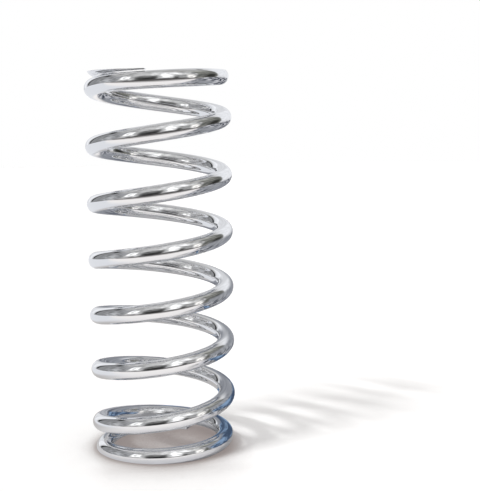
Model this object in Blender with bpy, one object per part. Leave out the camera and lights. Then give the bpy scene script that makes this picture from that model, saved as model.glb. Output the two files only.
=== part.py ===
"""Coilover spring: one piece of round wire wound into a right-hand helix, its ends closed and ground flat."""

import math

import bpy
import bmesh
from mathutils import Vector

MM = 0.001

# Driving sizes, in metres
FREE_LENGTH = 228.6 * MM      # over the two ground faces: 9 in
WIRE_DIAMETER = 10.3 * MM     # 13/32 in
SEAT_BORE = 63.5 * MM         # inside the end coils, which sit on the seats: 2.5 in
BODY_RELIEF = 1.9 * MM        # how much further out the working coils run than the end coils
COIL_GAP = 0.4 * MM           # left between an end coil and the coil that it closes on

# Driving sizes, in turns along the wire
BOTTOM_TIP = 0.18             # where the wire starts, measured round from +X
BOTTOM_FLAT_END = 0.92        # where the bottom flat runs out
OPENING_TURN = 1.28           # middle of the change from the closed to the working pitch
CLOSING_TURN = 7.55           # middle of the change back to the closed pitch
TOP_FLAT_START = 7.84         # where the top flat begins
TOP_TIP = 8.72                # where the wire ends
PITCH_BLEND = 0.34            # turns over which the pitch changes
RELIEF_BLEND = 0.90           # turns over which the coil's radius changes
PITCH_GROWTH = 0.075          # the working pitch at the top is this share larger than at the bottom

# Facets
STEPS_PER_TURN = 36
BEVEL_RESOLUTION = 6          # 16 sides round the wire
INTEGRATION_STEPS = 400       # samples of the pitch in each turn
MERGE_DISTANCE = 0.01 * MM

# Derived sizes
WIRE_RADIUS = WIRE_DIAMETER / 2
SEAT_RADIUS = SEAT_BORE / 2 + WIRE_RADIUS
BODY_RADIUS = SEAT_RADIUS + BODY_RELIEF
CLOSED_PITCH = WIRE_DIAMETER + COIL_GAP
CUTTER_REACH = BODY_RADIUS + 2 * WIRE_DIAMETER
CUTTER_DEPTH = 2 * WIRE_DIAMETER


def blend(turn, middle, width):
    """0 before the change, 1 after it, smooth between."""
    share = min(max((turn - middle) / width + 0.5, 0.0), 1.0)
    return share * share * (3 - 2 * share)


def working_share(turn):
    """How much of the working pitch applies at this turn, from 0 in the closed ends to 1."""
    return blend(turn, OPENING_TURN, PITCH_BLEND) * (1 - blend(turn, CLOSING_TURN, PITCH_BLEND))


def growth(turn):
    """The working pitch at this turn over its mean."""
    middle = (OPENING_TURN + CLOSING_TURN) / 2
    return 1 + PITCH_GROWTH * (turn - middle) / (CLOSING_TURN - OPENING_TURN)


def coil_radius(turn):
    """Radius of the wire's centre line: the seats' radius at both ends, larger between them."""
    rise = blend(turn, BOTTOM_FLAT_END + PITCH_BLEND / 2, RELIEF_BLEND)
    fall = blend(turn, TOP_FLAT_START, RELIEF_BLEND)
    return SEAT_RADIUS + BODY_RELIEF * (rise - fall)


def integrate(rate, start, end):
    """The sum of rate over the turns from start to end, by the midpoint rule."""
    steps = max(1, round((end - start) * INTEGRATION_STEPS))
    width = (end - start) / steps
    return sum(rate(start + (i + 0.5) * width) for i in range(steps)) * width


def working_pitch():
    """The mean working pitch that brings the wire's top to the free length where the top flat begins."""
    rise = FREE_LENGTH - WIRE_DIAMETER
    closed = CLOSED_PITCH * integrate(lambda turn: 1 - working_share(turn), BOTTOM_FLAT_END, TOP_FLAT_START)
    working = integrate(lambda turn: working_share(turn) * growth(turn), BOTTOM_FLAT_END, TOP_FLAT_START)
    return (rise - closed) / working


def centre_line():
    """Points along the middle of the wire, from the bottom tip to the top tip."""
    mean_pitch = working_pitch()

    def pitch(turn):
        share = working_share(turn)
        return CLOSED_PITCH * (1 - share) + mean_pitch * growth(turn) * share

    steps = round((TOP_TIP - BOTTOM_TIP) * STEPS_PER_TURN)
    turns = [BOTTOM_TIP + (TOP_TIP - BOTTOM_TIP) * i / steps for i in range(steps + 1)]
    height = WIRE_RADIUS - integrate(pitch, BOTTOM_TIP, BOTTOM_FLAT_END)
    points = []
    for i, turn in enumerate(turns):
        if i:
            height += integrate(pitch, turns[i - 1], turn)
        angle = 2 * math.pi * turn
        radius = coil_radius(turn)
        points.append((radius * math.cos(angle), radius * math.sin(angle), height))
    return points


def clear_scene():
    for obj in list(bpy.data.objects):
        bpy.data.objects.remove(obj, do_unlink=True)


def new_collection(name):
    collection = bpy.data.collections.new(name)
    bpy.context.scene.collection.children.link(collection)
    return collection


def chrome_material():
    material = bpy.data.materials.new("polished_chrome")
    material.use_nodes = True
    shader = material.node_tree.nodes["Principled BSDF"]
    shader.inputs["Base Color"].default_value = (0.87, 0.875, 0.885, 1.0)
    shader.inputs["Metallic"].default_value = 1.0
    shader.inputs["Roughness"].default_value = 0.02
    return material


def wound_wire(name, collection):
    """The full round wire along the helix, as a closed mesh."""
    data = bpy.data.curves.new(name + "_path", "CURVE")
    data.dimensions = "3D"
    data.twist_mode = "Z_UP"
    data.fill_mode = "FULL"
    data.bevel_depth = WIRE_RADIUS
    data.bevel_resolution = BEVEL_RESOLUTION
    data.use_fill_caps = True
    points = centre_line()
    spline = data.splines.new("POLY")
    spline.points.add(len(points) - 1)
    for point, co in zip(spline.points, points):
        point.co = (*co, 1.0)
    path = bpy.data.objects.new(name + "_path", data)
    collection.objects.link(path)

    bpy.context.view_layer.update()
    graph = bpy.context.evaluated_depsgraph_get()
    mesh = bpy.data.meshes.new_from_object(path.evaluated_get(graph))
    mesh.name = name
    shape = bmesh.new()
    shape.from_mesh(mesh)
    bmesh.ops.remove_doubles(shape, verts=shape.verts, dist=MERGE_DISTANCE)
    bmesh.ops.recalc_face_normals(shape, faces=shape.faces)
    shape.to_mesh(mesh)
    shape.free()
    wire = bpy.data.objects.new(name, mesh)
    wire.matrix_world = path.matrix_world
    collection.objects.link(wire)
    bpy.data.objects.remove(path, do_unlink=True)
    return wire


def grinding_cutter(name, low, high, collection):
    """A square block over the whole coil between two heights: what the grinding takes away."""
    mesh = bpy.data.meshes.new(name)
    shape = bmesh.new()
    bmesh.ops.create_cube(shape, size=1.0)
    bmesh.ops.scale(shape, verts=shape.verts, vec=Vector((2 * CUTTER_REACH, 2 * CUTTER_REACH, high - low)))
    bmesh.ops.translate(shape, verts=shape.verts, vec=Vector((0, 0, (low + high) / 2)))
    shape.to_mesh(mesh)
    shape.free()
    cutter = bpy.data.objects.new(name, mesh)
    cutter.hide_render = True
    cutter.display_type = "WIRE"
    collection.objects.link(cutter)
    return cutter


def grind(wire, cutter):
    cut = wire.modifiers.new(cutter.name, "BOOLEAN")
    cut.operation = "DIFFERENCE"
    cut.solver = "EXACT"
    cut.object = cutter


def main():
    clear_scene()
    parts = new_collection("coilover_spring")
    cutters = new_collection("coilover_spring_cutters")
    cutters.hide_render = True

    spring = wound_wire("coil_spring", parts)
    spring.data.materials.clear()
    spring.data.materials.append(chrome_material())
    spring.data.shade_smooth()
    spring.data.set_sharp_from_angle(angle=math.radians(35))
    grind(spring, grinding_cutter("bottom_grinding", -CUTTER_DEPTH, 0.0, cutters))
    grind(spring, grinding_cutter("top_grinding", FREE_LENGTH, FREE_LENGTH + CUTTER_DEPTH, cutters))


main()
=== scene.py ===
"""The looks of a coilover spring: one length of polished chrome wire, in a white studio with grey walls."""

import math
from collections import namedtuple

import bmesh
import bpy
import numpy as np
from mathutils import Matrix, Vector


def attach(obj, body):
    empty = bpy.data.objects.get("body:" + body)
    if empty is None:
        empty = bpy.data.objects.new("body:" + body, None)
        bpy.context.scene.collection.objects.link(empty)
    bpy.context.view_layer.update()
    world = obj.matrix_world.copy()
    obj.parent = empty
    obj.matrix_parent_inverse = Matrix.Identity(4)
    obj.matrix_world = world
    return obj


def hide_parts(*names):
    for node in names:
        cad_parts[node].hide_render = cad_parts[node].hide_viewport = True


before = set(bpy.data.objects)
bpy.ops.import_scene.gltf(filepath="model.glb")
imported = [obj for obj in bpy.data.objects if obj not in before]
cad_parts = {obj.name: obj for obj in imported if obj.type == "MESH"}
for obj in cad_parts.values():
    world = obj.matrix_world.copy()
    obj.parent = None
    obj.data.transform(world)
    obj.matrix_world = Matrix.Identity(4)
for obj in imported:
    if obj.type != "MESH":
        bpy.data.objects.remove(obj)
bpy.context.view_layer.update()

MM = 0.001
NODE = "coil_spring"

# The spring's driving sizes, as in its CAD source, in metres
FREE_LENGTH = 228.6 * MM
WIRE_DIAMETER = 10.3 * MM
SEAT_BORE = 63.5 * MM
BODY_RELIEF = 1.9 * MM
COIL_GAP = 0.4 * MM

# The same, in turns along the wire
BOTTOM_TIP = 0.18
BOTTOM_FLAT_END = 0.92
OPENING_TURN = 1.28
CLOSING_TURN = 7.55
TOP_FLAT_START = 7.84
TOP_TIP = 8.72
PITCH_BLEND = 0.34
RELIEF_BLEND = 0.90
PITCH_GROWTH = 0.075          # a share: how much larger the working pitch is at the top than at the bottom
INTEGRATION_STEPS = 400       # samples of the pitch in each turn

# The fine surface, a hair inside the faceted solid that it stands for
SKIN_INSET = 0.06 * MM        # off the wire's radius
COIL_INSET = 0.10 * MM        # off the coils' radius
RINGS_PER_TURN = 120
SIDE_STEPS = 18               # round each half of the wire, from one flat to the other
FLAT_STEPS = 6                # across a ground flat
RIM_SOFTENING = 0.16 * MM     # how far the grinding's edge is broken
SOFTENED_SHARE = 0.3          # the most of a side or a flat that the broken edge takes
RIM_CUT = 0.3                 # how far in the edge's middle lies, as a share of the softening
MERGE = 0.5e-6
WIRE_MAP = "wire"             # the name of its texture map
QUAD = 4                      # corners: only the wire's two end caps have more

# Derived sizes
WIRE_RADIUS = WIRE_DIAMETER / 2
SKIN_RADIUS = WIRE_RADIUS - SKIN_INSET
SEAT_RADIUS = SEAT_BORE / 2 + WIRE_RADIUS
CLOSED_PITCH = WIRE_DIAMETER + COIL_GAP

# What the plating shows of the steel beneath, each pattern by its scale along the wire and round it
CHROME = (0.87, 0.875, 0.885)
DRAW_LINES = (14.0, 1400.0)
DRAW_LINE_DEPTH = 0.004 * MM
HAZE = (0.35, 0.75, 0.010, 0.022)    # from one value of the draw lines to another, and the roughness at each
WAVES = (55.0, 110.0)
WAVE_DEPTH = 0.08 * MM
WAVE_DETAIL = 1.0
FRECKLES = (800.0, 800.0)
DULL_FRECKLES = (0.74, 0.82, 0.0, 0.16)

# The ground faces
GROUND_CHROME = (0.85, 0.865, 0.885)
GRINDING_SCALE = (90, 5000, 90)      # the grinding lines run along X
GRINDING_DEPTH = 0.004 * MM
GRINDING_DETAIL = 3.0
GRINDING_HAZE = (0.3, 0.7, 0.08, 0.2)
GRID_TURN = 25.0                     # degrees: keeps the noise's own grid off the lines

# The camera, as the photograph gives it
PICTURE_HEIGHT = 491          # pixels: the long side
FOCAL_PIXELS = 1092.9
SENSOR = 36.0                 # mm
CAMERA_DISTANCE = 660.7 * MM  # in front of the spring's axis
EYE_HEIGHT = 201.1 * MM
LOOK_DOWN = 6.745             # degrees
TURN_RIGHT = 4.171
ROLL = -0.698

# The lights
WHITE = (1.0, 1.0, 1.0)
FILL_COLOUR = (0.655, 0.64, 0.63)
KEY_AZIMUTH = -56.5           # degrees round from the camera's side, towards -X
KEY_ELEVATION = 48.8
KEY_DISTANCE = 60.0
KEY_SPREAD = 15.5             # how long the light looks from the spring, in degrees
KEY_WIDTH = 2.0               # and how wide
KEY_SLANT = 10.0              # how far its length leans from the level
KEY_STRENGTH = 1.75           # the light that it sends on a surface that faces it


def blend(turn, middle, width):
    """0 before the change, 1 after it, smooth between."""
    share = np.clip((turn - middle) / width + 0.5, 0, 1)
    return share * share * (3 - 2 * share)


def working_share(turn):
    """How much of the working pitch applies at this turn, from 0 in the closed ends to 1."""
    return blend(turn, OPENING_TURN, PITCH_BLEND) * (1 - blend(turn, CLOSING_TURN, PITCH_BLEND))


def growth(turn):
    """The working pitch at this turn over its mean."""
    middle = (OPENING_TURN + CLOSING_TURN) / 2
    return 1 + PITCH_GROWTH * (turn - middle) / (CLOSING_TURN - OPENING_TURN)


def coil_radius(turn):
    """Radius of the wire's middle: the seats' radius at both ends, larger between them."""
    rise = blend(turn, BOTTOM_FLAT_END + PITCH_BLEND / 2, RELIEF_BLEND)
    fall = blend(turn, TOP_FLAT_START, RELIEF_BLEND)
    return SEAT_RADIUS + BODY_RELIEF * (rise - fall)


def integrate(rate, start, end):
    """The sum of rate over the turns from start to end, by the midpoint rule."""
    steps = max(1, round((end - start) * INTEGRATION_STEPS))
    middles = start + (np.arange(steps) + 0.5) * (end - start) / steps
    return float(np.sum(rate(middles))) * (end - start) / steps


def centre_line():
    """The turns, and the points of the wire's middle at them."""
    closed = CLOSED_PITCH * integrate(lambda t: 1 - working_share(t), BOTTOM_FLAT_END, TOP_FLAT_START)
    working = integrate(lambda t: working_share(t) * growth(t), BOTTOM_FLAT_END, TOP_FLAT_START)
    mean_pitch = (FREE_LENGTH - WIRE_DIAMETER - closed) / working

    def pitch(turn):
        share = working_share(turn)
        return CLOSED_PITCH * (1 - share) + mean_pitch * growth(turn) * share

    count = round((TOP_TIP - BOTTOM_TIP) * RINGS_PER_TURN)
    turns = np.linspace(BOTTOM_TIP, TOP_TIP, count + 1)
    rises = [integrate(pitch, a, b) for a, b in zip(turns[:-1], turns[1:])]
    start = WIRE_RADIUS - integrate(pitch, BOTTOM_TIP, BOTTOM_FLAT_END)
    height = start + np.concatenate([[0.0], np.cumsum(rises)])
    radius = coil_radius(turns) - COIL_INSET
    angle = 2 * np.pi * turns
    points = np.stack([radius * np.cos(angle), radius * np.sin(angle), height], -1)
    return turns, points


def wire_axes(turns, points):
    """At each point of the middle: the unit vector away from the spring's axis, and the one upwards."""
    along = np.gradient(points, axis=0)
    along /= np.linalg.norm(along, axis=1)[:, None]
    angle = 2 * np.pi * turns
    out = np.stack([np.cos(angle), np.sin(angle), np.zeros_like(angle)], -1)
    out -= np.sum(out * along, axis=1)[:, None] * along
    out /= np.linalg.norm(out, axis=1)[:, None]
    return out, np.cross(out, along)


def rim_angle(room):
    """The angle above the wire's side at which a flat cuts it, or the very top where none does."""
    return math.asin(max(-1.0, room / SKIN_RADIUS)) if room < SKIN_RADIUS else math.pi / 2


def rim_setback(rim):
    """How far before the rim the round side ends, in radians: nothing where no flat cuts it."""
    return min(RIM_SOFTENING / SKIN_RADIUS, SOFTENED_SHARE * (math.pi / 2 - abs(rim)))


def section(top_room, bottom_room):
    """The wire's outline at one place, as (out, up) points: a circle, less what the flats take away."""
    top = rim_angle(top_room)
    bottom = rim_angle(bottom_room)
    points = []
    # Up the outer side and over the top, then down the inner side and under the bottom
    for side, start, rim in ((1, -bottom, top), (-1, top, -bottom)):
        first = start + side * rim_setback(start)
        last = rim - side * rim_setback(rim)
        for i in range(SIDE_STEPS + 1):
            angle = first + (last - first) * i / SIDE_STEPS
            points.append((side * SKIN_RADIUS * math.cos(angle), SKIN_RADIUS * math.sin(angle)))
        half = SKIN_RADIUS * math.cos(rim)
        level = SKIN_RADIUS * math.sin(rim)
        softened = min(RIM_SOFTENING, SOFTENED_SHARE * half)
        edge_out = half - RIM_CUT * softened
        edge_up = level - math.copysign(RIM_CUT * softened, level) * math.cos(rim)
        points.append((side * edge_out, edge_up))
        for i in range(FLAT_STEPS + 1):
            across = (half - softened) * (1 - 2 * i / FLAT_STEPS)
            points.append((side * across, level))
        points.append((-side * edge_out, edge_up))
    return points


def wire_rings(turns, middles):
    """The wire's outline in space at each point of its middle."""
    rings = []
    for middle, out, up in zip(middles, *wire_axes(turns, middles)):
        top_room = (FREE_LENGTH - middle[2]) / up[2]
        bottom_room = middle[2] / up[2]
        outline = np.array(section(top_room, bottom_room))
        rings.append(middle + outline[:, :1] * out + outline[:, 1:] * up)
    return rings


def map_wire(mesh, middles, count):
    """A texture map whose u runs along the wire and whose v runs round it, both in metres."""
    layer = mesh.uv_layers.new(name=WIRE_MAP)
    lengths = np.concatenate([[0.0], np.cumsum(np.linalg.norm(np.diff(middles, axis=0), axis=1))])
    along = np.repeat(lengths, count)
    around = np.tile(np.arange(count) / count * 2 * math.pi * SKIN_RADIUS, len(middles))
    corners = np.empty(len(mesh.loops), dtype=np.int32)
    mesh.loops.foreach_get("vertex_index", corners)
    layer.data.foreach_set("uv", np.stack([along[corners], around[corners]], -1).astype(np.float32).ravel())


def spring_mesh(name):
    """The wire as one closed mesh, with its flats ground and their faces in the second material."""
    turns, middles = centre_line()
    rings = wire_rings(turns, middles)
    count = len(rings[0])
    points = np.concatenate(rings)
    points[:, 2] = np.clip(points[:, 2], 0, FREE_LENGTH)

    # Each half of an outline has the points of a side, an edge, a flat and an edge
    half_count = count // 2
    flat_start = SIDE_STEPS + 2
    faces = []
    ground = []
    for i in range(len(rings) - 1):
        for j in range(count):
            k = (j + 1) % count
            faces.append((i * count + j, i * count + k, (i + 1) * count + k, (i + 1) * count + j))
            ground.append(flat_start <= j % half_count < flat_start + FLAT_STEPS)
    faces.append(tuple(reversed(range(count))))
    faces.append(tuple((len(rings) - 1) * count + j for j in range(count)))
    ground += [False, False]

    mesh = bpy.data.meshes.new(name)
    mesh.from_pydata([tuple(p) for p in points], [], faces)
    mesh.polygons.foreach_set("material_index", [int(g) for g in ground])
    map_wire(mesh, middles, count)
    return mesh


def tidy_surface(mesh):
    """Merges the points that coincide where no flat is, and shades the wire smooth and the cuts sharp."""
    shape = bmesh.new()
    shape.from_mesh(mesh)
    bmesh.ops.remove_doubles(shape, verts=shape.verts, dist=MERGE)
    bmesh.ops.dissolve_degenerate(shape, edges=shape.edges, dist=MERGE)
    bmesh.ops.recalc_face_normals(shape, faces=shape.faces)
    for face in shape.faces:
        face.smooth = len(face.verts) <= QUAD
    for edge in shape.edges:
        materials = {face.material_index for face in edge.link_faces}
        edge.smooth = len(materials) == 1 and all(face.smooth for face in edge.link_faces)
    shape.to_mesh(mesh)
    shape.free()


def shader_nodes(name):
    """A new material, its node tree, and the shader in it."""
    material = bpy.data.materials.new(name)
    material.use_nodes = True
    tree = material.node_tree
    return material, tree, tree.nodes["Principled BSDF"]


def math_node(tree, operation, *values):
    """The result of one sum, whose values are numbers or other nodes' outputs."""
    node = tree.nodes.new("ShaderNodeMath")
    node.operation = operation
    for socket, value in zip(node.inputs, values):
        if isinstance(value, (int, float)):
            socket.default_value = value
        else:
            tree.links.new(value, socket)
    return node.outputs[0]


def smooth_step(tree, value, start, end, low=0.0, high=1.0):
    """From low at start to high at end, smooth between; start may be the larger."""
    node = tree.nodes.new("ShaderNodeMapRange")
    node.interpolation_type = "SMOOTHSTEP"
    node.inputs["From Min"].default_value = start
    node.inputs["From Max"].default_value = end
    node.inputs["To Min"].default_value = low
    node.inputs["To Max"].default_value = high
    tree.links.new(value, node.inputs["Value"])
    return node.outputs["Result"]


def mix_colour(tree, share, under, over):
    """The colour under where share is 0 and the one over it where share is 1."""
    node = tree.nodes.new("ShaderNodeMix")
    node.data_type = "RGBA"
    tree.links.new(share, node.inputs["Factor"])
    for name, value in (("A", under), ("B", over)):
        socket = [s for s in node.inputs if s.name == name and s.type == "RGBA"][0]
        if isinstance(value, tuple):
            socket.default_value = (*value, 1)
        else:
            tree.links.new(value, socket)
    return [s for s in node.outputs if s.type == "RGBA"][0]


def noise(tree, place, detail=2.0, scale=1.0):
    node = tree.nodes.new("ShaderNodeTexNoise")
    node.inputs["Scale"].default_value = scale
    node.inputs["Detail"].default_value = detail
    tree.links.new(place, node.inputs["Vector"])
    return node.outputs[0]


def coordinates(tree, kind):
    """The place on an object, or the direction in the world, in one of Blender's coordinates."""
    return tree.nodes.new("ShaderNodeTexCoord").outputs[kind]


def split_place(tree, place):
    """The x, y and z of a place."""
    node = tree.nodes.new("ShaderNodeSeparateXYZ")
    tree.links.new(place, node.inputs[0])
    return tuple(node.outputs)


def join_place(tree, *values):
    """The place with these x, y and z; one that isn't given is 0."""
    node = tree.nodes.new("ShaderNodeCombineXYZ")
    for socket, value in zip(node.inputs, values):
        tree.links.new(value, socket)
    return node.outputs[0]


def stretch_place(tree, place, scale, turn=0.0):
    """The place, scaled along each axis and then turned round Z, in degrees."""
    node = tree.nodes.new("ShaderNodeMapping")
    node.inputs["Rotation"].default_value = (0, 0, math.radians(turn))
    node.inputs["Scale"].default_value = scale
    tree.links.new(place, node.inputs["Vector"])
    return node.outputs[0]


def wire_place(tree, along_scale, round_scale):
    """A place on the wire, the two directions stretched apart, with no seam round it."""
    uv = tree.nodes.new("ShaderNodeUVMap")
    uv.uv_map = WIRE_MAP
    along, around, _ = split_place(tree, uv.outputs[0])
    angle = math_node(tree, "DIVIDE", around, WIRE_RADIUS)
    ring = [math_node(tree, "MULTIPLY", math_node(tree, operation, angle), WIRE_RADIUS * round_scale)
            for operation in ("COSINE", "SINE")]
    return join_place(tree, math_node(tree, "MULTIPLY", along, along_scale), *ring)


def bump(tree, height, depth, below=None):
    """A bump that rises by depth, in metres, as height goes from 0 to 1."""
    node = tree.nodes.new("ShaderNodeBump")
    node.inputs["Strength"].default_value = 1.0
    node.inputs["Distance"].default_value = depth
    tree.links.new(height, node.inputs["Height"])
    if below is not None:
        tree.links.new(below, node.inputs["Normal"])
    return node.outputs[0]


def chrome_material():
    """Bright plating over drawn wire: faint draw lines along it, slow waves, and a few dull freckles."""
    material, tree, shader = shader_nodes("polished_chrome")
    shader.inputs["Base Color"].default_value = (*CHROME, 1)
    shader.inputs["Metallic"].default_value = 1.0
    draw_lines = noise(tree, wire_place(tree, *DRAW_LINES))
    waves = noise(tree, wire_place(tree, *WAVES), WAVE_DETAIL)
    freckles = noise(tree, wire_place(tree, *FRECKLES))
    surface = bump(tree, draw_lines, DRAW_LINE_DEPTH, bump(tree, waves, WAVE_DEPTH))
    tree.links.new(surface, shader.inputs["Normal"])
    haze = smooth_step(tree, draw_lines, *HAZE)
    dull = smooth_step(tree, freckles, *DULL_FRECKLES)
    tree.links.new(math_node(tree, "ADD", haze, dull), shader.inputs["Roughness"])
    return material


def ground_material():
    """Plating over a ground face: fine parallel grinding lines, softer than the polished wire."""
    material, tree, shader = shader_nodes("ground_chrome")
    shader.inputs["Base Color"].default_value = (*GROUND_CHROME, 1)
    shader.inputs["Metallic"].default_value = 1.0
    place = stretch_place(tree, coordinates(tree, "Object"), GRINDING_SCALE, GRID_TURN)
    lines = noise(tree, place, GRINDING_DETAIL)
    tree.links.new(bump(tree, lines, GRINDING_DEPTH), shader.inputs["Normal"])
    tree.links.new(smooth_step(tree, lines, *GRINDING_HAZE), shader.inputs["Roughness"])
    return material


def make_spring():
    mesh = spring_mesh("spring_wire")
    tidy_surface(mesh)
    mesh.materials.append(chrome_material())
    mesh.materials.append(ground_material())
    spring = bpy.data.objects.new("spring_wire", mesh)
    bpy.context.scene.collection.objects.link(spring)
    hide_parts(NODE)
    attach(spring, "root")


def make_camera():
    """The photograph's camera: in front of the spring, near its top, and turned down a little."""
    data = bpy.data.cameras.new("camera")
    data.sensor_width = SENSOR
    data.lens = FOCAL_PIXELS / PICTURE_HEIGHT * SENSOR
    camera = bpy.data.objects.new("camera", data)
    bpy.context.scene.collection.objects.link(camera)
    down, right, roll = (math.radians(angle) for angle in (LOOK_DOWN, TURN_RIGHT, ROLL))
    forward = Vector((math.sin(right) * math.cos(down), math.cos(right) * math.cos(down), -math.sin(down)))
    side = forward.cross(Vector((0, 0, 1))).normalized()
    over = side.cross(forward)
    x = side * math.cos(roll) + over * math.sin(roll)
    y = over * math.cos(roll) - side * math.sin(roll)
    turned = Matrix((x, y, -forward)).transposed().to_4x4()
    camera.matrix_world = Matrix.Translation((0, -CAMERA_DISTANCE, EYE_HEIGHT)) @ turned
    bpy.context.scene.camera = camera


# A part of the studio, as the chrome sees it: its middle, half sizes and soft edges in degrees, how far it
# leans (degrees round for each degree up), and its brightness and tint
Panel = namedtuple("Panel", "name azimuth elevation half_width half_height soft_x soft_y lean level tint")
NEUTRAL = (1.0, 1.0, 1.0)
WARM = (1.02, 1.0, 0.97)
COOL = (0.97, 0.985, 1.02)
OLIVE = (1.0, 1.01, 0.94)
WALLS = (0.55, 0.55, 0.55)
PANELS = (
    Panel("back_wall", 180, 13, 40, 20, 8, 7, 0.0, 0.78, COOL),
    Panel("overhead_right", 88, 74, 34, 10, 16, 6, 0.0, 0.46, WARM),
    Panel("front_bounce", 16, 70, 46, 17, 20, 9, 0.0, 0.77, NEUTRAL),
    Panel("centre_bounce", 24, 53, 34, 14, 8, 9, 0.0, 1.00, NEUTRAL),
    Panel("left_curtain", -151, 14, 10, 28, 2.5, 8, -0.46, 0.98, COOL),
    Panel("left_wall", -103, 18, 37, 29, 3, 2, 0.0, 0.44, COOL),
    Panel("left_wall_upper", -103, 38, 36, 9, 3, 12, 0.0, 0.29, COOL),
    Panel("left_wall_shade", -124, 18, 15, 28, 12, 3, 0.0, 0.29, COOL),
    Panel("left_wall_top", -131, 43, 17, 3, 9, 2.5, 0.0, 0.08, COOL),
    Panel("left_wall_end", -138, 22, 3.5, 19, 1.5, 5, -0.1, 0.035, COOL),
    Panel("left_softbox", -55.5, 28.5, 8.5, 16, 3.5, 5, -0.28, 1.30, NEUTRAL),
    Panel("front_opening", -17.5, 10, 18.5, 33, 5, 11, 0.0, 0.165, NEUTRAL),
    Panel("front_floor_level", -16, 8, 14, 11, 6, 6, 0.0, 0.042, NEUTRAL),
    Panel("centre_low", 17, 1, 14, 8, 4, 6, 0.0, 0.25, NEUTRAL),
    Panel("centre_softbox", 17, 41, 9, 29, 4, 8, 0.0, 1.25, NEUTRAL),
    Panel("right_screen", 39, 13, 10, 22, 3, 9, 0.0, 0.39, NEUTRAL),
    Panel("right_screen_edge", 31, 7, 4, 12, 3, 6, 0.0, 0.10, NEUTRAL),
    Panel("right_strip", 58.5, 12, 7.5, 25, 3, 11, 0.0, 1.08, WARM),
    Panel("right_wall", 141, 20, 28, 23, 6, 9, 0.0, 0.93, COOL),
    Panel("right_arch", 148, 50, 4, 9, 2.5, 4, -1.9, 0.30, NEUTRAL),
    Panel("right_flag", 94, 20, 24.5, 34, 3, 5, 0.4, 0.22, OLIVE),
    Panel("right_flag_core", 97, 11, 13, 13, 6, 8, 0.4, 0.05, OLIVE),
    Panel("right_lamp_stand", 104, 56, 12, 9, 8, 7, 0.0, 0.38, OLIVE),
)
HALF_TURN = 180.0

# How uneven the studio's light is: a share of it, added in patches that fade towards the back wall
UNEVEN_SCALE = 6.0
UNEVEN_DETAIL = 4.0
UNEVEN_LIGHT = (0.36, 0.64, -0.40, 0.24)
UNEVEN_TO_BACK = (0.6, 0.2, 0.2, 1.0)


def panel_mask(tree, azimuth, elevation, panel):
    """1 inside the panel and 0 outside it, with soft edges."""
    above = math_node(tree, "SUBTRACT", elevation, panel.elevation)
    middle = math_node(tree, "MULTIPLY_ADD", above, panel.lean, panel.azimuth)
    beside = math_node(tree, "WRAP", math_node(tree, "SUBTRACT", azimuth, middle), HALF_TURN, -HALF_TURN)
    across = smooth_step(tree, math_node(tree, "ABSOLUTE", beside),
                         panel.half_width + panel.soft_x, panel.half_width - panel.soft_x)
    upward = smooth_step(tree, math_node(tree, "ABSOLUTE", above),
                         panel.half_height + panel.soft_y, panel.half_height - panel.soft_y)
    return math_node(tree, "MULTIPLY", across, upward)


def studio_colour(tree):
    """What lies in each direction, from the camera's side (azimuth 0) round to the right (90)."""
    direction = coordinates(tree, "Generated")
    x, y, z = split_place(tree, direction)
    front = math_node(tree, "MULTIPLY", y, -1.0)
    azimuth = math_node(tree, "DEGREES", math_node(tree, "ARCTAN2", x, front))
    elevation = math_node(tree, "DEGREES", math_node(tree, "ARCSINE", z))
    colour = WALLS
    for panel in PANELS:
        tone = tuple(panel.level * part for part in panel.tint)
        colour = mix_colour(tree, panel_mask(tree, azimuth, elevation, panel), colour, tone)
    patches = smooth_step(tree, noise(tree, direction, UNEVEN_DETAIL, UNEVEN_SCALE), *UNEVEN_LIGHT)
    change = math_node(tree, "MULTIPLY", patches, smooth_step(tree, y, *UNEVEN_TO_BACK))
    uneven = tree.nodes.new("ShaderNodeVectorMath")
    uneven.operation = "SCALE"
    tree.links.new(colour, uneven.inputs[0])
    tree.links.new(math_node(tree, "ADD", change, 1.0), uneven.inputs["Scale"])
    return uneven.outputs[0]


def make_world():
    """White behind the object, the studio's walls and lamps in its reflections, and an even fill light."""
    world = bpy.data.worlds.new("studio")
    bpy.context.scene.world = world
    world.use_nodes = True
    tree = world.node_tree
    tree.nodes.clear()
    path = tree.nodes.new("ShaderNodeLightPath")
    seen = mix_colour(tree, path.outputs["Is Camera Ray"], FILL_COLOUR, WHITE)
    through = mix_colour(tree, path.outputs["Is Transmission Ray"], seen, WHITE)
    colour = mix_colour(tree, path.outputs["Is Glossy Ray"], through, studio_colour(tree))
    background = tree.nodes.new("ShaderNodeBackground")
    tree.links.new(colour, background.inputs["Color"])
    output = tree.nodes.new("ShaderNodeOutputWorld")
    tree.links.new(background.outputs[0], output.inputs["Surface"])


# The table
FLOOR_RADIUS = 4.0
FLOOR_CORNERS = 128
FLOOR_DROP = 0.05 * MM        # below the spring's foot
TABLE = (0.9, 0.9, 0.9)
# Painted shade round the spring's foot, as the camera sees it
TABLE_PAINTED_SHADE_AT_FOOT = (0.12, 0.115, 0.11)

# Painted light that the table gives off to the camera alone, which keeps it white there but for the shadow;
# it grows to the right, painting the cast shadow paler away from the spring, and tints the painted shade at
# the foot
GLOW_AT_FOOT = (0.26, 0.223, 0.215)
GLOW = (0.03, 0.06, 0.10, 0.18)                # from one x to another, and how much at each
GLOW_FAR_RIGHT = (0.06, 0.25, 0.0, 0.07)

# Painted shade close round the spring's foot, from how much of the room a place on the table sees
CONTACT_REACH = 110 * MM
CONTACT_SAMPLES = 16
CONTACT_EDGE = (0.50, 0.87)                    # full dark at the one, none at the other
CONTACT_LEFT = (-0.030, -0.050, 0.0, 0.09)     # from one x to another, and what it adds at each
CONTACT_FRONT = (-0.034, -0.054, 0.0, -0.06)   # the same along y
CONTACT_RIGHT = (0.036, 0.056, 0.0, 0.85)      # from one x to another, and the least clearness at each
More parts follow.
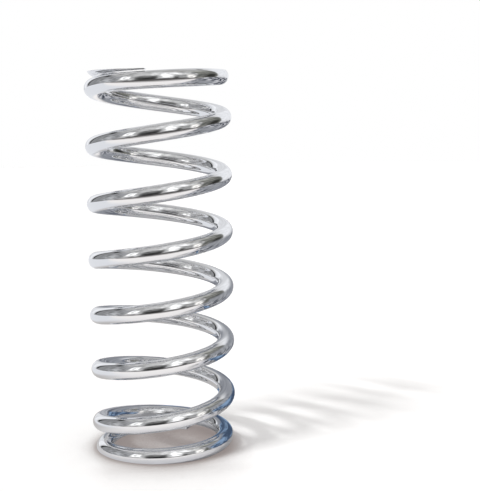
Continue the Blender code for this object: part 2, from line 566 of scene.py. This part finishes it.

# A zone of the table that reflections show, laid over the zones before it: painted shade at the left, behind
# and at the right, and darker towards the table's front edge and beyond it. It shows where all its edges are
# passed: an edge is a direction and the two places along it where the zone starts and where it is full
Zone = namedtuple("Zone", "name edges tone")
FLECKED = "flecked"
SLANT = 0.4                   # how much of x is added to y along the slanted direction
REFLECTED_TABLE = (0.92, 0.905, 0.905)
# Painted shade round the spring's foot, as reflections show it
REFLECTED_PAINTED_SHADE_AT_FOOT = (0.66, 0.665, 0.69)
ZONES = (
    Zone("left", (("x", -0.02, -0.12), ("y", -0.14, 0.02)), (0.76, 0.785, 0.83)),
    Zone("behind", (("x", -0.14, -0.07), ("y", -0.08, 0.06), ("y", 0.38, 0.27)), (0.50, 0.49, 0.49)),
    Zone("far_right", (("x", 0.40, 0.90),), (0.50, 0.50, 0.52)),
    Zone("right", (("x", 0.02, 0.10), ("slanted", -0.085, 0.0)), FLECKED),
    Zone("front", (("y", -0.28, -0.40),), (0.46, 0.45, 0.45)),
    Zone("far_front", (("y", -0.45, -0.75),), (0.085, 0.08, 0.08)),
)

# The flecks, which grow with their distance from the spring's axis
FLECKS_OUT = 1.6              # in each step of that distance by a factor of e
FLECKS_ROUND = 4.4            # in each radian
FLECK_DETAIL = 3.0
FLECK_EDGE = (0.44, 0.56)
FLECK_TONES = ((0.05, 0.06, 0.08), (0.56, 0.57, 0.61))


def fleck_colour(tree, place, x, y):
    distance = tree.nodes.new("ShaderNodeVectorMath")
    distance.operation = "LENGTH"
    tree.links.new(place, distance.inputs[0])
    out = math_node(tree, "LOGARITHM", distance.outputs["Value"], math.e)
    angle = math_node(tree, "ARCTAN2", y, x)
    spread = join_place(tree, math_node(tree, "MULTIPLY", out, FLECKS_OUT),
                        math_node(tree, "MULTIPLY", angle, FLECKS_ROUND))
    return mix_colour(tree, smooth_step(tree, noise(tree, spread, FLECK_DETAIL), *FLECK_EDGE), *FLECK_TONES)


def zone_share(tree, along, edges):
    """1 where all the edges are passed, 0 before any of them, smooth between."""
    shares = [smooth_step(tree, along[direction], start, end) for direction, start, end in edges]
    share = shares[0]
    for other in shares[1:]:
        share = math_node(tree, "MULTIPLY", share, other)
    return share


def reflected_table(tree, place, x, y):
    """The table as the chrome sees it: pale, with painted shade at the left, behind and in flecks at the
    right, and darker towards the front.
    """
    along = {"x": x, "y": y, "slanted": math_node(tree, "MULTIPLY_ADD", x, SLANT, y)}
    colour = REFLECTED_TABLE
    for zone in ZONES:
        tone = fleck_colour(tree, place, x, y) if zone.tone == FLECKED else zone.tone
        colour = mix_colour(tree, zone_share(tree, along, zone.edges), colour, tone)
    return colour


def clear_of_painted_shade(tree, x, y):
    """Where the painted shade round the spring's foot lies: 0 close round it, 1 away from it."""
    corner = tree.nodes.new("ShaderNodeAmbientOcclusion")
    corner.samples = CONTACT_SAMPLES
    corner.inputs["Distance"].default_value = CONTACT_REACH
    open_sky = math_node(tree, "ADD", corner.outputs["AO"], smooth_step(tree, x, *CONTACT_LEFT))
    open_sky = math_node(tree, "ADD", open_sky, smooth_step(tree, y, *CONTACT_FRONT))
    return math_node(tree, "MAXIMUM", smooth_step(tree, open_sky, *CONTACT_EDGE),
                     smooth_step(tree, x, *CONTACT_RIGHT))


def table_material():
    """White to the camera but for the spring's shadow and the painted shade round its foot, with painted light
    and shade in the reflections.
    """
    material, tree, shader = shader_nodes("white_table")
    shader.inputs["Roughness"].default_value = 1.0
    shader.inputs["Specular IOR Level"].default_value = 0.0
    place = coordinates(tree, "Object")
    x, y, _ = split_place(tree, place)
    path = tree.nodes.new("ShaderNodeLightPath")
    # Painted shade round the foot darkens the table, for the camera and in reflections
    clear = clear_of_painted_shade(tree, x, y)
    seen = mix_colour(tree, clear, TABLE_PAINTED_SHADE_AT_FOOT, TABLE)
    reflected = mix_colour(tree, clear, REFLECTED_PAINTED_SHADE_AT_FOOT, reflected_table(tree, place, x, y))
    colour = mix_colour(tree, path.outputs["Is Glossy Ray"], seen, reflected)
    # Painted light: the glow grows to the right, so the cast shadow is painted paler away from the spring
    glow = math_node(tree, "ADD", smooth_step(tree, x, *GLOW), smooth_step(tree, x, *GLOW_FAR_RIGHT))
    tree.links.new(colour, shader.inputs["Base Color"])
    tree.links.new(mix_colour(tree, clear, GLOW_AT_FOOT, glow), shader.inputs["Emission Color"])
    tree.links.new(path.outputs["Is Camera Ray"], shader.inputs["Emission Strength"])
    return material


def make_floor():
    bpy.ops.mesh.primitive_circle_add(vertices=FLOOR_CORNERS, radius=FLOOR_RADIUS, fill_type="NGON",
                                      location=(0, 0, -FLOOR_DROP))
    floor = bpy.context.object
    floor.name = "floor"
    floor.data.materials.append(table_material())


# A card on the table that only reflections show: where its foot's middle stands, the way its length runs and
# how far it leans towards the spring in degrees, its size, how much of its top fades out, how many patches it
# has along its length, and their dark and light tones
Card = namedtuple("Card", "name foot turn lean width height fade patches tones")
BLUE_TONES = ((0.06, 0.09, 0.15), (0.26, 0.38, 0.56))
GREY_TONES = ((0.12, 0.13, 0.16), (0.46, 0.475, 0.51))
PALE_TONES = ((0.10, 0.11, 0.13), (0.57, 0.58, 0.61))
CARDS = (
    Card("blue_card", (0.069, 0.037), -52.7, 26.3, 0.22, 0.05, 0.2, 9.0, BLUE_TONES),
    Card("grey_card", (0.048, 0.105), -24.8, 0.0, 0.26, 0.16, 0.35, 15.0, GREY_TONES),
    Card("right_card", (0.165, 0.01), 90.0, 0.0, 0.17, 0.17, 0.35, 12.0, PALE_TONES),
)
UPRIGHT = 90                  # degrees from lying on the table
PATCHES_UP = 3.0              # over a card's height
PATCH_DETAIL = 3.0
PATCH_EDGE = (0.38, 0.62, -0.5, 0.5)       # from dark to light
CALM = (45 * MM, 85 * MM, 1.0, 0.15)       # from one height to another, and the patches' contrast at each
CARD_SIDE = (0.5, 0.38)       # shares of the width from a card's middle: where it starts and where it is full


def card_place(card):
    """Stands a card that lies at the origin, one metre wide and high, in its place."""
    foot = Matrix.Translation((*card.foot, 0)) @ Matrix.Rotation(math.radians(card.turn), 4, "Z")
    stood = foot @ Matrix.Rotation(math.radians(UPRIGHT + card.lean), 4, "X")
    return (stood @ Matrix.Translation((0, card.height / 2, 0))
            @ Matrix.Diagonal((card.width, card.height, 1, 1)))


def card_material(card):
    """Patches between two tones, calmer higher up, on a card that fades out at its sides and its top."""
    material = bpy.data.materials.new(card.name)
    material.use_nodes = True
    tree = material.node_tree
    tree.nodes.clear()
    place = coordinates(tree, "Generated")
    x, y, _ = split_place(tree, place)
    beside = math_node(tree, "ABSOLUTE", math_node(tree, "SUBTRACT", x, 0.5))
    share = math_node(tree, "MULTIPLY", smooth_step(tree, beside, *CARD_SIDE),
                      smooth_step(tree, y, 1.0, 1.0 - card.fade))
    patches = noise(tree, stretch_place(tree, place, (card.patches, PATCHES_UP, 1.0)), PATCH_DETAIL)
    contrast = smooth_step(tree, math_node(tree, "MULTIPLY", y, card.height), *CALM)
    tone = math_node(tree, "MULTIPLY_ADD", smooth_step(tree, patches, *PATCH_EDGE), contrast, 0.5)
    light = tree.nodes.new("ShaderNodeEmission")
    tree.links.new(mix_colour(tree, tone, *card.tones), light.inputs["Color"])
    nothing = tree.nodes.new("ShaderNodeBsdfTransparent")
    both = tree.nodes.new("ShaderNodeMixShader")
    for socket, value in zip(both.inputs, (share, nothing.outputs[0], light.outputs[0])):
        tree.links.new(value, socket)
    output = tree.nodes.new("ShaderNodeOutputMaterial")
    tree.links.new(both.outputs[0], output.inputs["Surface"])
    return material


def make_card(card):
    bpy.ops.mesh.primitive_plane_add(size=1.0)
    plane = bpy.context.object
    plane.name = card.name
    plane.matrix_world = card_place(card)
    plane.data.materials.append(card_material(card))
    plane.visible_camera = False
    plane.visible_diffuse = False
    plane.visible_transmission = False
    plane.visible_shadow = False


def make_key():
    """A long narrow light far to the left of the camera, which casts the spring's shadow away to the right."""
    azimuth, elevation, slant = (math.radians(angle) for angle in (KEY_AZIMUTH, KEY_ELEVATION, KEY_SLANT))
    away = Vector((math.sin(azimuth) * math.cos(elevation), -math.cos(azimuth) * math.cos(elevation),
                   math.sin(elevation)))
    side = Vector((math.cos(azimuth), math.sin(azimuth), 0))
    length = side * math.cos(slant) + away.cross(side) * math.sin(slant)
    data = bpy.data.lights.new("key", "AREA")
    data.shape = "RECTANGLE"
    data.size = 2 * KEY_DISTANCE * math.tan(math.radians(KEY_SPREAD / 2))
    data.size_y = 2 * KEY_DISTANCE * math.tan(math.radians(KEY_WIDTH / 2))
    data.energy = KEY_STRENGTH * math.pi * KEY_DISTANCE ** 2
    key = bpy.data.objects.new("key", data)
    bpy.context.scene.collection.objects.link(key)
    turned = Matrix((length, away.cross(length), away)).transposed().to_4x4()
    key.matrix_world = Matrix.Translation(away * KEY_DISTANCE) @ turned
    key.visible_camera = False
    key.visible_glossy = False


bpy.context.scene.view_settings.view_transform = "Standard"
make_camera()
make_world()
make_floor()
for card in CARDS:
    make_card(card)
make_key()
make_spring()
